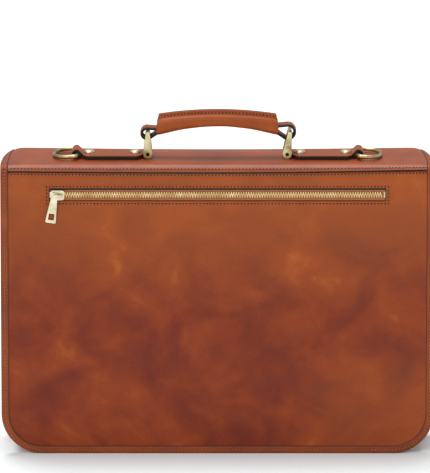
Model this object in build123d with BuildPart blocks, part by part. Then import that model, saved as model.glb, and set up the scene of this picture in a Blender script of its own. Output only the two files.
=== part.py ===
"""Leather briefcase with a folding flap, a rear zip pocket, a stirrup handle and two D-rings.

Millimetres, +Z up. The bag stands on z = 0, the zip pocket faces -Y and the flap falls in front, +Y.
Depths are given from the outer face of the back panel, growing to the front, and at_depth() places them.
"""

from build123d import *
import math
import os

os.makedirs("parts", exist_ok=True)

# Driving dimensions of the bag
width = 420.0
flap_depth = 82.0
top_height = 289.4
corner_radius = 40.0
leather = 2.0
thin_leather = 1.6
edge_strip = 7.5
strip_wall = 1.0
bend_radius = 14.0

# What stands proud of the two faces, so that the origin is under the middle of the whole bag
zip_proud = 5.0
buckle_proud = 6.0
back_y = -(flap_depth + buckle_proud - zip_proud) / 2

# Body
body_depth = flap_depth - 15.0
front_height = 268.0
gusset_height = 264.0
divider_height = 246.0
board_thickness = 2.0
gusset_inset = 8.5
bend_height = top_height - bend_radius
seam_angle = 36.0
fold_angle = 69.0
fold_gap_angle = 1.5

# Rear zip
zip_window_half = 162.8
zip_window_height = 12.0
zip_height = 259.9
tape_width = 11.4
tape_gap = 0.5
tape_thickness = 0.8
tooth_thickness = 1.5
stop_length = 1.4
tooth_row = 2.7
tooth_gap = 0.2
slider_length = 13.0
slider_width = 9.7
slider_x = -154.5
slider_plate = 1.6
crown_thickness = 1.2
crown_post_x = slider_x - 3.0
pull_length = 30.0
pull_lean = 8.5
pull_thickness = 1.5
lining_half = 172.0
lining_bottom = 101.5
lining_top = 273.5
lining_depth = 3.4
lining_wall = 0.6

# Top fittings
handle_depth = 35.0
tab_thickness = 4.0
tab_half_width = 15.0
tab_ring_half_width = 10.0
tab_pin_half_width = 7.6
ring_x = 136.4
ring_wire = 1.9
ring_bar_height = top_height + 4.2
ring_reach = 21.7
ring_half_width = 15.8
ring_tilt = 4.5
rivet_places = (79.8, 124.3)
rivet_head = 5.2
rivet_shank = 1.5
stirrup_x = 67.5
stirrup_height = top_height + 4.7
stirrup_length = 20.5
stirrup_lean_right = 7.0
stirrup_foot = 4.25
stirrup_bar = 2.0
stirrup_leg = 3.0
stirrup_leg_y = 8.0
pin_radius = 1.45

# Handle
grip_half = 59.3
grip_top_middle = 332.6
grip_top_end = 328.2
grip_bottom_middle = 320.0
grip_bottom_end = 310.8
grip_half_width = 8.5
fin_height = 4.1
fin_half_width = 1.8
loop_middle_x = 68.2
loop_middle_height = 315.0
loop_radius = 8.0
loop_wall = 3.0
loop_end_bottom = 311.5
loop_end_top = 321.5
loop_half_width = 7.0

# Front pocket and flap front
pocket_half = 160.0
pocket_bottom = 28.0
pocket_top = 200.0
pocket_face = flap_depth - 3.6
pocket_corner = 25.0
flap_bottom = 62.0
strap_x = 105.0
strap_width = 26.0
strap_top = 215.0
buckle_bottom = 96.0
buckle_height = 28.0
buckle_wire = 3.2
tongue_bottom = 28.0
tongue_back = flap_depth + 2.3
tongue_thickness = 1.8
tip_top = 152.0
keeper_bottom = 134.0
keeper_height = 12.0
keeper_wall = 1.4
snap_height = 45.0
snap_gap = 0.4


def at_depth(depth):
    """Y of a plane this far in front of the back panel's outer face."""
    return back_y + depth


def facing(depth):
    """Plane across the bag at this depth. Extruding goes towards the back."""
    return Plane.XZ.offset(-at_depth(depth))


def make(part, label):
    """Names a finished piece and writes its file."""
    part.label = label
    export_step(part, f"parts/{label}.step")


def outline(inset, top, half=width / 2, bottom=0.0, radius=corner_radius):
    """Sketch of the panel outline: straight top, two round bottom corners."""
    side = half - inset
    floor = bottom + inset
    corner = radius - inset
    with BuildSketch() as section:
        with BuildLine():
            Polyline((-side, floor + corner), (-side, top), (side, top), (side, floor + corner))
            TangentArc((side, floor + corner), (side - corner, floor), tangent=(0, -1))
            Line((side - corner, floor), (corner - side, floor))
            TangentArc((corner - side, floor), (-side, floor + corner), tangent=(-1, 0))
        make_face()
    return section.sketch_local


def plate(front, thickness, inset, top, **shape):
    """A panel of the given thickness behind the plane at depth front."""
    with BuildPart() as panel:
        with BuildSketch(facing(front)):
            add(outline(inset, top, **shape))
        extrude(amount=thickness)
    return panel.part


def edge_ring(front, thickness, outer, inner, top, **shape):
    """The U-shaped ring between two insets of an outline, open at the top."""
    with BuildPart() as ring:
        with BuildSketch(facing(front)):
            add(outline(outer, top, **shape))
        extrude(amount=thickness)
        with BuildSketch(facing(front)):
            add(outline(inner, top, **shape))
        extrude(amount=thickness, mode=Mode.SUBTRACT)
    return ring.part


def bend_sector(centre_depth, front_side, radii, angles):
    """Sketch, for the YZ plane, of a sector of a top bend between two radii and two angles."""
    direction = 1.0 if front_side else -1.0
    middle_y = at_depth(centre_depth)

    def point(radius, angle):
        turn = math.radians(angle)
        return (middle_y + direction * radius * math.cos(turn), bend_height + radius * math.sin(turn))

    inner, outer = radii
    start, end = angles
    middle = (start + end) / 2
    with BuildSketch() as section:
        with BuildLine():
            ThreePointArc(point(outer, start), point(outer, middle), point(outer, end))
            Line(point(outer, end), point(inner, end))
            ThreePointArc(point(inner, end), point(inner, middle), point(inner, start))
            Line(point(inner, start), point(outer, start))
        make_face()
    return section.sketch_local


def across(half, other_half=0.0):
    """Extrudes the pending YZ section over the width, leaving out the middle if other_half is given."""
    extrude(amount=half, both=True)
    if other_half:
        Box(2 * other_half, 400, 800, mode=Mode.SUBTRACT)


rear_bend = bend_radius - leather
front_bend = flap_depth - bend_radius
fold_start = fold_angle + fold_gap_angle

# --- Case: panels, gusset, divider, boards -------------------------------------------------------

with BuildPart() as back_panel:
    add(plate(leather, leather, strip_wall, bend_height))
    with BuildSketch(Plane.YZ):
        add(bend_sector(rear_bend, False, (rear_bend - leather, rear_bend), (0, fold_angle)))
    extrude(amount=width / 2 - strip_wall, both=True)
    with BuildSketch(facing(leather)):
        with Locations((0, zip_height)):
            Rectangle(2 * zip_window_half, zip_window_height)
    extrude(amount=leather, mode=Mode.SUBTRACT)
make(back_panel.part, "back_panel")

with BuildPart() as flap_hem:
    with BuildSketch(Plane.YZ):
        add(bend_sector(rear_bend, False, (rear_bend, bend_radius), (seam_angle, fold_angle)))
    extrude(amount=width / 2 - strip_wall, both=True)
make(flap_hem.part, "flap_hem")

panel_stack = leather + thin_leather
with BuildPart() as rear_binding:
    add(edge_ring(panel_stack + strip_wall, panel_stack + 2 * strip_wall, 0, edge_strip, bend_height))
    add(edge_ring(panel_stack, panel_stack, strip_wall, edge_strip, bend_height), mode=Mode.SUBTRACT)
make(rear_binding.part, "rear_binding")

with BuildPart() as hem_binding:
    with BuildSketch(Plane.YZ):
        add(bend_sector(rear_bend, False, (rear_bend - leather - strip_wall, rear_bend + strip_wall),
                        (0, seam_angle)))
        add(bend_sector(rear_bend, False, (rear_bend - leather - strip_wall, bend_radius + strip_wall),
                        (seam_angle, fold_angle)))
    across(width / 2, width / 2 - edge_strip)
    add(back_panel.part, mode=Mode.SUBTRACT)
    add(flap_hem.part, mode=Mode.SUBTRACT)
make(hem_binding.part, "hem_binding")

flange_inset = gusset_inset + thin_leather
with BuildPart() as gusset:
    add(edge_ring(body_depth - leather, body_depth - 2 * leather, gusset_inset, flange_inset, gusset_height))
    add(edge_ring(leather + thin_leather, thin_leather, strip_wall, gusset_inset, gusset_height))
    add(edge_ring(body_depth - leather, thin_leather, strip_wall, gusset_inset, gusset_height))
make(gusset.part, "gusset")

make(plate(body_depth, leather, strip_wall, front_height), "front_panel")

with BuildPart() as front_binding:
    add(edge_ring(body_depth + strip_wall, panel_stack + 2 * strip_wall, 0, edge_strip, gusset_height))
    add(edge_ring(body_depth, panel_stack, strip_wall, edge_strip, gusset_height), mode=Mode.SUBTRACT)
make(front_binding.part, "front_binding")

board_top = flange_inset + board_thickness
board_half = width / 2 - corner_radius - 4.0
with BuildPart() as bottom_board:
    with BuildSketch(facing(body_depth - panel_stack)):
        with Locations((0, (flange_inset + board_top) / 2)):
            Rectangle(2 * board_half, board_top - flange_inset)
    extrude(amount=body_depth - 2 * panel_stack)
make(bottom_board.part, "bottom_board")

divider_middle = body_depth / 2
with BuildPart() as divider:
    add(plate(divider_middle + thin_leather / 2, thin_leather, flange_inset, divider_height))
    with Locations((0, at_depth(divider_middle), board_top / 2)):
        Box(2 * board_half, 10, board_top, mode=Mode.SUBTRACT)
make(divider.part, "divider")

# --- Case: rear zip and its lining ---------------------------------------------------------------

tape_front = leather + tape_thickness
for side, label in ((1, "zip_tape_upper"), (-1, "zip_tape_lower")):
    with BuildPart() as tape:
        with BuildSketch(facing(tape_front)):
            with Locations((0, zip_height + side * (tape_width + tape_gap) / 2)):
                Rectangle(2 * zip_window_half + 8, tape_width)
        extrude(amount=tape_front - leather)
    make(tape.part, label)

teeth_start = -zip_window_half + 2.2
teeth_end = zip_window_half - 2.2
for side, label in ((1, "zip_teeth_upper"), (-1, "zip_teeth_lower")):
    with BuildPart() as teeth:
        with BuildSketch(facing(leather)):
            with Locations(((teeth_start + teeth_end) / 2, zip_height + side * (tooth_row + tooth_gap) / 2)):
                Rectangle(teeth_end - teeth_start, tooth_row)
        extrude(amount=tooth_thickness)
    make(teeth.part, label)

stop_middle = stop_length / 2 + 0.1
with BuildPart() as zip_stops:
    with BuildSketch(facing(leather)):
        with Locations((teeth_start - stop_middle, zip_height), (teeth_end + stop_middle, zip_height)):
            Rectangle(stop_length, 2 * tooth_row + tooth_gap)
    extrude(amount=tooth_thickness)
make(zip_stops.part, "zip_stops")

lining_front = leather + lining_depth
lining_seam = 1.5
with BuildPart() as zip_pocket_lining:
    with BuildSketch(facing(lining_front)):
        with Locations((0, (lining_bottom + lining_top) / 2)):
            Rectangle(2 * lining_half, lining_top - lining_bottom)
    extrude(amount=lining_depth)
    with BuildSketch(facing(lining_front - lining_wall)):
        with Locations((0, (lining_bottom + lining_top) / 2)):
            Rectangle(2 * (lining_half - lining_seam), lining_top - lining_bottom - 2 * lining_seam)
    extrude(amount=lining_depth - lining_wall, mode=Mode.SUBTRACT)
make(zip_pocket_lining.part, "zip_pocket_lining")

# --- Zip slider and pull -------------------------------------------------------------------------

crown_out = -zip_proud
crown_in = crown_out + crown_thickness
crown_span = 7.0
guide_height = 1.2
with BuildPart() as zip_slider:
    with BuildSketch(facing(0)):
        with Locations((slider_x, zip_height)):
            RectangleRounded(slider_length, slider_width, 2.4)
    extrude(amount=slider_plate)
    with BuildSketch(facing(slider_plate)):
        for side in (-1, 1):
            with Locations((slider_x, zip_height + side * (slider_width / 2 - 0.65))):
                Rectangle(slider_length - 5.5, guide_height)
    extrude(amount=slider_plate)
    with BuildSketch(facing(-slider_plate)):
        with Locations((crown_post_x, zip_height), (crown_post_x + crown_span, zip_height)):
            Circle(0.8)
    extrude(amount=-slider_plate - crown_out)
    with BuildSketch(facing(crown_in)):
        with Locations((crown_post_x + crown_span / 2, zip_height)):
            SlotOverall(crown_span + 2.2, 2.2)
    extrude(amount=crown_thickness)
make(zip_slider.part, "zip_slider")

pull_plane = Plane(
    origin=(crown_post_x, at_depth(-2.0), zip_height),
    x_dir=(math.cos(math.radians(pull_lean)), 0, -math.sin(math.radians(pull_lean))),
    z_dir=(0, -1, 0),
)
pull_start = 2.6
pull_end = pull_start - pull_length
with BuildPart() as zip_pull:
    with BuildSketch(pull_plane) as pull_outline:
        with BuildLine():
            Polyline((-2.6, pull_start), (2.6, pull_start), (5.2, pull_end), (-5.2, pull_end), close=True)
        make_face()
        fillet(pull_outline.vertices(), 1.4)
        Circle(1.2, mode=Mode.SUBTRACT)
        with Locations((0, pull_end + 6.2)):
            RectangleRounded(5.6, 6.4, 0.8, mode=Mode.SUBTRACT)
    extrude(amount=pull_thickness)
make(zip_pull.part, "zip_pull")

# --- Flap top ------------------------------------------------------------------------------------

flat_length = front_bend - rear_bend


def flap_top_band(inner, outer, half, other_half=0.0):
    """Leather band of the flap's top between two bend radii: rear bend, flat, front bend."""
    with BuildPart() as band:
        with BuildSketch(Plane.YZ):
            add(bend_sector(rear_bend, False, (inner, outer), (fold_start, 90)))
            add(bend_sector(front_bend, True, (inner, outer), (fold_start, 90)))
            with Locations((at_depth((rear_bend + front_bend) / 2), bend_height + (inner + outer) / 2)):
                Rectangle(flat_length, outer - inner)
        across(half, other_half)
    return band.part


handle_y = at_depth(handle_depth)

with BuildPart() as flap_top:
    add(flap_top_band(rear_bend, bend_radius, width / 2 - strip_wall))
    with Locations(*[(s * x, handle_y, top_height) for s in (-1, 1) for x in rivet_places]):
        Cylinder(rivet_shank, 20, mode=Mode.SUBTRACT)
make(flap_top.part, "flap_top")

with BuildPart() as flap_top_binding:
    add(flap_top_band(rear_bend - strip_wall, bend_radius + strip_wall, width / 2, width / 2 - edge_strip))
    add(flap_top_band(rear_bend, bend_radius, width / 2 - strip_wall), mode=Mode.SUBTRACT)
make(flap_top_binding.part, "flap_top_binding")


def carrier_tab(side):
    """Folded leather tab that holds one D-ring at its outer end and one stirrup pin at its inner end."""
    upright = Plane.XZ.offset(-handle_y)
    with BuildPart() as tab:
        with BuildSketch(upright):
            with Locations((side * (ring_x + stirrup_x) / 2, top_height + tab_thickness / 2)):
                Rectangle(ring_x - stirrup_x - 2, tab_thickness)
            with Locations((side * ring_x, ring_bar_height)):
                Circle(4.0)
            with Locations((side * stirrup_x, stirrup_height)):
                Circle(3.6)
            with Locations((side * (ring_x - 4), top_height + 1)):
                Rectangle(8, 2)
            with Locations((side * (stirrup_x + 3), top_height + 1.2)):
                Rectangle(6, 2.4)
            with Locations((side * ring_x, ring_bar_height)):
                Circle(ring_wire + 0.3, mode=Mode.SUBTRACT)
            with Locations((side * stirrup_x, stirrup_height)):
                Circle(pin_radius, mode=Mode.SUBTRACT)
        extrude(amount=tab_half_width, both=True)
        with BuildSketch(Plane.XY.offset(top_height)) as plan:
            with BuildLine():
                wide_in = stirrup_x + 11.0
                wide_out = ring_x - 9.0
                reach_in = stirrup_x - 5.0
                reach_out = ring_x + 5.0
                right = [(reach_in, tab_pin_half_width), (wide_in - 4, tab_pin_half_width),
                         (wide_in, tab_half_width), (wide_out, tab_half_width),
                         (wide_out + 4, tab_ring_half_width), (reach_out, tab_ring_half_width)]
                points = right + [(x, -y) for x, y in reversed(right)]
                Polyline([(side * x, handle_y + y) for x, y in points], close=True)
            make_face()
        extrude(amount=20, both=True, mode=Mode.INTERSECT)
        with Locations(*[(side * x, handle_y, top_height) for x in rivet_places]):
            Cylinder(rivet_shank, 20, mode=Mode.SUBTRACT)
    return tab.part


def rivet_set(side):
    """Two domed rivets with their shanks and the washers under the flap."""
    head_base = top_height + tab_thickness
    under = top_height - leather
    places = [(side * x, handle_y) for x in rivet_places]
    with BuildPart() as rivets:
        with BuildSketch(Plane.XY.offset(head_base)):
            with Locations(*places):
                Circle(rivet_head)
        extrude(amount=2.6)
        fillet(rivets.edges().group_by(Axis.Z)[-1], 1.9)
        with BuildSketch(Plane.XY.offset(under)):
            with Locations(*places):
                Circle(rivet_shank)
        extrude(amount=head_base - under)
        with BuildSketch(Plane.XY.offset(under - 1.0)):
            with Locations(*places):
                Circle(4.5)
        extrude(amount=1.0)
    return rivets.part


def d_ring(side):
    """Round-wire D-ring whose straight side lies in the tab's end and which rests on the flap."""
    tilt = math.radians(ring_tilt)
    plane = Plane(
        origin=(side * ring_x, handle_y, ring_bar_height),
        x_dir=(side * math.cos(tilt), 0, -math.sin(tilt)),
        z_dir=(side * math.sin(tilt), 0, math.cos(tilt)),
    )
    with BuildPart() as ring:
        with BuildLine(plane) as path:
            FilletPolyline((0, -ring_half_width), (ring_reach, -ring_half_width),
                           (ring_reach, ring_half_width), (0, ring_half_width),
                           radius=(3.0, 14.5, 14.5, 3.0), close=True)
        with BuildSketch(Plane(origin=(side * ring_x, handle_y, ring_bar_height),
                               x_dir=(1, 0, 0), z_dir=(0, 1, 0))):
            Circle(ring_wire)
        sweep(path=path.wires()[0])
    return ring.part


def stirrup(side):
    """Handle stirrup: two tapered legs on a pin along Y, joined at the top by a round bar."""
    lean = math.radians(stirrup_lean_right if side > 0 else 0.0)
    foot = (side * stirrup_x, stirrup_height)
    bar = (foot[0] + stirrup_length * math.sin(lean), foot[1] + stirrup_length * math.cos(lean))
    with BuildPart() as piece:
        for near in (handle_y + stirrup_leg_y + stirrup_leg, handle_y - stirrup_leg_y):
            with BuildSketch(Plane.XZ.offset(-near)):
                with Locations(foot):
                    Circle(stirrup_foot)
                with Locations(bar):
                    Circle(stirrup_bar)
                make_hull()
                with Locations(foot):
                    Circle(pin_radius + 0.35, mode=Mode.SUBTRACT)
            extrude(amount=stirrup_leg)
        with BuildSketch(Plane.XZ.offset(-(handle_y + stirrup_leg_y + 1))):
            with Locations(bar):
                Circle(stirrup_bar)
        extrude(amount=2 * stirrup_leg_y + 2)
    return piece.part


def stirrup_pin(side):
    """Pin through a tab's inner end, its ends flush with the stirrup's legs."""
    reach = stirrup_leg_y + stirrup_leg
    with BuildPart() as pin:
        with BuildSketch(Plane.XZ.offset(-(handle_y + reach))):
            with Locations((side * stirrup_x, stirrup_height)):
                Circle(pin_radius)
        extrude(amount=2 * reach)
    return pin.part


for side, name in ((-1, "left"), (1, "right")):
    make(carrier_tab(side), f"carrier_tab_{name}")
    make(rivet_set(side), f"tab_rivets_{name}")
    make(d_ring(side), f"d_ring_{name}")
    make(stirrup(side), f"stirrup_{name}")
    make(stirrup_pin(side), f"stirrup_pin_{name}")

# --- Handle --------------------------------------------------------------------------------------


def grip_side_view(inset):
    """Sketch of the grip from the side: both long edges are shallow arcs."""
    half = grip_half - inset
    top, crown = grip_top_end - inset, grip_top_middle - inset
    bottom, arch = grip_bottom_end + inset, grip_bottom_middle + inset
    with BuildSketch() as section:
        with BuildLine():
            ThreePointArc((-half, top), (0, crown), (half, top))
            Line((half, top), (half, bottom))
            ThreePointArc((half, bottom), (0, arch), (-half, bottom))
            Line((-half, bottom), (-half, top))
        make_face()
    return section.sketch_local


with BuildPart() as handle_core:
    with BuildSketch(Plane.XZ.offset(-handle_y)):
        add(grip_side_view(leather))
    extrude(amount=grip_half_width - leather, both=True)
    chamfer(handle_core.edges().filter_by(GeomType.CIRCLE), 2.4)
make(handle_core.part, "handle_core")

with BuildPart() as handle_grip:
    with BuildSketch(Plane.XZ.offset(-handle_y)):
        add(grip_side_view(0))
    extrude(amount=grip_half_width, both=True)
    chamfer(handle_grip.edges().filter_by(GeomType.CIRCLE), 4.0)
    with BuildSketch(Plane.XZ.offset(-handle_y)):
        with BuildLine():
            ThreePointArc((-grip_half, grip_top_end + fin_height), (0, grip_top_middle + fin_height),
                          (grip_half, grip_top_end + fin_height))
            Line((grip_half, grip_top_end + fin_height), (grip_half, grip_top_end - 1))
            ThreePointArc((grip_half, grip_top_end - 1), (0, grip_top_middle - 1),
                          (-grip_half, grip_top_end - 1))
            Line((-grip_half, grip_top_end - 1), (-grip_half, grip_top_end + fin_height))
        make_face()
    extrude(amount=fin_half_width, both=True)
    add(handle_core.part, mode=Mode.SUBTRACT)
make(handle_grip.part, "handle_grip")

def loop_side_view(side, wall):
    """Sketch of a handle loop's outline from the side, made smaller all round by wall."""
    end = side * grip_half
    with BuildSketch() as section:
        with Locations((side * loop_middle_x, loop_middle_height)):
            Circle(loop_radius - wall)
        with BuildLine():
            Polyline((end, loop_end_bottom + wall), (end, loop_end_top - wall),
                     (end + side, loop_end_top - wall), (end + side, loop_end_bottom + wall), close=True)
        make_face()
        make_hull()
    return section.sketch_local


for side, name in ((-1, "left"), (1, "right")):
    with BuildPart() as handle_loop:
        with BuildSketch(Plane.XZ.offset(-handle_y)):
            add(loop_side_view(side, 0))
            add(loop_side_view(side, loop_wall), mode=Mode.SUBTRACT)
        extrude(amount=loop_half_width, both=True)
    make(handle_loop.part, f"handle_loop_{name}")

# --- Front pocket --------------------------------------------------------------------------------

pocket_shape = {"half": pocket_half, "bottom": pocket_bottom, "radius": pocket_corner}
make(edge_ring(pocket_face - leather, pocket_face - leather - body_depth, 0, thin_leather, pocket_top, **pocket_shape),
     "front_pocket_gusset")
make(plate(pocket_face, leather, 0, pocket_top, **pocket_shape), "front_pocket_panel")

snap_plane = flap_depth - 0.4
with BuildPart() as snap_studs:
    with BuildSketch(facing(pocket_face + 1.2)):
        with Locations((-strap_x, snap_height), (strap_x, snap_height)):
            Circle(5.5)
    extrude(amount=1.2)
    with BuildSketch(facing(snap_plane - snap_gap)):
        with Locations((-strap_x, snap_height), (strap_x, snap_height)):
            Circle(3.0)
    extrude(amount=snap_plane - snap_gap - pocket_face - 1.2)
make(snap_studs.part, "snap_studs")

# --- Flap front ----------------------------------------------------------------------------------

flap_shape = {"bottom": flap_bottom}
with BuildPart() as flap_front:
    add(plate(flap_depth, leather, strip_wall, bend_height, **flap_shape))
    with BuildSketch(Plane.YZ):
        add(bend_sector(front_bend, True, (rear_bend, bend_radius), (0, fold_angle)))
    extrude(amount=width / 2 - strip_wall, both=True)
make(flap_front.part, "flap_front")

with BuildPart() as flap_front_binding:
    add(edge_ring(flap_depth + strip_wall, leather + 2 * strip_wall, 0, edge_strip, bend_height, **flap_shape))
    with BuildSketch(Plane.YZ):
        add(bend_sector(front_bend, True, (rear_bend - strip_wall, bend_radius + strip_wall), (0, fold_angle)))
    extrude(amount=width / 2, both=True)
    with Locations((0, at_depth(front_bend), top_height)):
        Box(width - 2 * edge_strip, 60, 4 * bend_radius, mode=Mode.SUBTRACT)
    add(flap_front.part, mode=Mode.SUBTRACT)
make(flap_front_binding.part, "flap_front_binding")


def strap_piece(front, thickness, x, bottom, top, point_down=False, point_up=False):
    """A flat strap on the flap; a pointed end is cut back at 45 degrees on both corners."""
    half = strap_width / 2
    cut = 8.0
    with BuildPart() as strap:
        with BuildSketch(facing(front)) as face:
            with Locations((x, (bottom + top) / 2)):
                Rectangle(strap_width, top - bottom)
            ends = []
            if point_down:
                ends += face.vertices().group_by(Axis.Y)[0]
            if point_up:
                ends += face.vertices().group_by(Axis.Y)[-1]
            if ends:
                chamfer(ends, cut)
        extrude(amount=thickness)
    return strap.part


strap_face = flap_depth + leather
tip_face = strap_face + tongue_thickness
buckle_middle = buckle_bottom + buckle_height / 2
tongue_top = buckle_bottom - 2.8
for side, name in ((-1, "left"), (1, "right")):
    x = side * strap_x
    make(strap_piece(strap_face, leather, x, tongue_top - 1.2, strap_top, point_up=True), f"flap_strap_{name}")

    with BuildPart() as strap_tip:
        add(strap_piece(tip_face, tongue_thickness, x, tongue_top + 0.5, tip_top, point_up=True))
        with Locations((x, at_depth(tip_face), buckle_middle)):
            Box(4.0, 10, 4.0, mode=Mode.SUBTRACT)
    make(strap_tip.part, f"strap_tip_{name}")

    with BuildPart() as buckle:
        with BuildSketch(facing(flap_depth + buckle_proud)):
            with Locations((x, buckle_middle)):
                RectangleRounded(strap_width + 4 * buckle_wire, buckle_height, 5.0)
                RectangleRounded(strap_width + 2.0, buckle_height - 2 * buckle_wire, 2.0, mode=Mode.SUBTRACT)
        extrude(amount=buckle_proud - leather)
        with Locations((x, at_depth(tip_face) - 4.9, buckle_middle)):
            Box(strap_width + 1.0, 10, 2 * buckle_height, mode=Mode.SUBTRACT)
    make(buckle.part, f"buckle_{name}")

    with BuildPart() as prong:
        with BuildSketch(facing(tip_face + 1.6)):
            with Locations((x, (buckle_middle + buckle_bottom + 5.6) / 2)):
                Rectangle(2.6, buckle_middle - buckle_bottom - 2.0)
        extrude(amount=1.6)
        with Locations((x, (at_depth(tip_face) + at_depth(strap_face)) / 2, buckle_middle)):
            Box(2.6, tongue_thickness, 2.6)
    make(prong.part, f"buckle_prong_{name}")

    with BuildPart() as keeper:
        with BuildSketch(Plane.XY.offset(keeper_bottom)):
            with Locations((x, at_depth((strap_face + tip_face + keeper_wall) / 2))):
                Rectangle(strap_width + 2 * keeper_wall + 0.4, tongue_thickness + keeper_wall)
            with Locations((x, at_depth((strap_face + tip_face) / 2))):
                Rectangle(strap_width + 0.4, tongue_thickness, mode=Mode.SUBTRACT)
        extrude(amount=keeper_height)
    make(keeper.part, f"keeper_{name}")

    make(strap_piece(tongue_back + tongue_thickness, tongue_thickness, x, tongue_bottom, tongue_top,
                     point_down=True), f"tongue_{name}")

    with BuildPart() as snap_cap:
        with BuildSketch(facing(tongue_back)):
            with Locations((x, snap_height)):
                Circle(6.0)
        extrude(amount=tongue_back - snap_plane)
    make(snap_cap.part, f"snap_cap_{name}")
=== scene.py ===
"""Leather briefcase, seen from its zip side: the CAD frame dressed with leather, thread and brass."""

import math
import random

import bmesh
import bpy
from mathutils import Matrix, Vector, noise


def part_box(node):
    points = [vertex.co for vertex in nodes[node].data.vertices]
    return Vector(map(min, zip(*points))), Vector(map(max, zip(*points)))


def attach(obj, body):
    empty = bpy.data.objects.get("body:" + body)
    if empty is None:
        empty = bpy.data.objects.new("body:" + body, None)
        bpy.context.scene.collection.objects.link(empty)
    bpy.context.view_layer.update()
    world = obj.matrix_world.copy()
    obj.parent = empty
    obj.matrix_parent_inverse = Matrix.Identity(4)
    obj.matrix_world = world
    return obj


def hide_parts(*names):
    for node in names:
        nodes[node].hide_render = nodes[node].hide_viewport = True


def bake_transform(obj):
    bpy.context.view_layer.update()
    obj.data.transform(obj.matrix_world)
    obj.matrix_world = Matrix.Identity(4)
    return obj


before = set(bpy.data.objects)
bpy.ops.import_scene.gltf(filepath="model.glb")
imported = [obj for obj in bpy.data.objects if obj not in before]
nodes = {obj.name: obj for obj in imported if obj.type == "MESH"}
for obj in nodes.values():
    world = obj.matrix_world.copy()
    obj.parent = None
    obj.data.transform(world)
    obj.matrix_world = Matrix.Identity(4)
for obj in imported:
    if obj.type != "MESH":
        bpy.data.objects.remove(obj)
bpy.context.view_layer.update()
random.seed(7)

MM = 0.001
SIDES = (("left", -1), ("right", 1))
BACKWARD = Vector((0, -1, 0))
FORWARD = Vector((0, 1, 0))
ACROSS = Vector((1, 0, 0))
UP = Vector((0, 0, 1))

# ===== Sizes, read from the frame, with the leather's own small dimensions named here =====

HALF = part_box("rear_binding")[1].x
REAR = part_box("back_panel")[0].y
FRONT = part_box("flap_front")[1].y
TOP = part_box("flap_top")[1].z
FLAP_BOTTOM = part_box("flap_front_binding")[0].z
BODY_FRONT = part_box("front_panel")[1].y
BODY_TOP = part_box("front_panel")[1].z
GUSSET_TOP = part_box("gusset")[1].z
BEND_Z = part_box("rear_binding")[1].z
BEND = TOP - BEND_Z
CORNER = 40 * MM  # radius of the case's lower corners, on the edge strips
CORNER_STEPS = 14
LEATHER = 2.0 * MM
THIN = 1.6 * MM
STRIP = 7.5 * MM  # width of the folded edge strips
WALL = 1.0 * MM  # leather of the edge strips
SEAM_ANGLE = math.radians(36)  # where the hem lies on the rear bend
PITCH = 3.3 * MM  # from stitch to stitch
THREAD_WIDTH = 0.95 * MM
STACK = LEATHER + THIN  # panel and gusset, sewn together inside a strip
SEW = 3.75 * MM  # from a strip's edge to its sewing
SEW_LIFT = 0.62 * MM  # how high that sewing lies on the strip
REAR_BEND_Y = REAR + BEND - LEATHER
FRONT_BEND_Y = FRONT - BEND
HANDLE_Y = (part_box("d_ring_left")[0].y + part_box("d_ring_left")[1].y) / 2
PIN_RADIUS = 1.45 * MM
PIN_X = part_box("stirrup_pin_right")[0].x + PIN_RADIUS
PIN_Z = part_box("stirrup_pin_right")[0].z + PIN_RADIUS
RING_WIRE = 1.9 * MM  # radius of the D-rings' wire
RING_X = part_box("d_ring_right")[0].x + RING_WIRE
RING_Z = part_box("d_ring_right")[1].z - RING_WIRE


def srgb(red, green, blue):
    """A colour given in 0 to 255 screen values, as linear light with alpha."""
    values = []
    for value in (red, green, blue):
        share = value / 255
        values.append(share / 12.92 if share <= 0.04045 else ((share + 0.055) / 1.055) ** 2.4)
    return (*values, 1.0)


def smooth(value, low, high):
    """Smoothstep of value between low and high."""
    share = min(max((value - low) / (high - low), 0.0), 1.0)
    return share * share * (3 - 2 * share)


# ===== Materials =====


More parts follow.
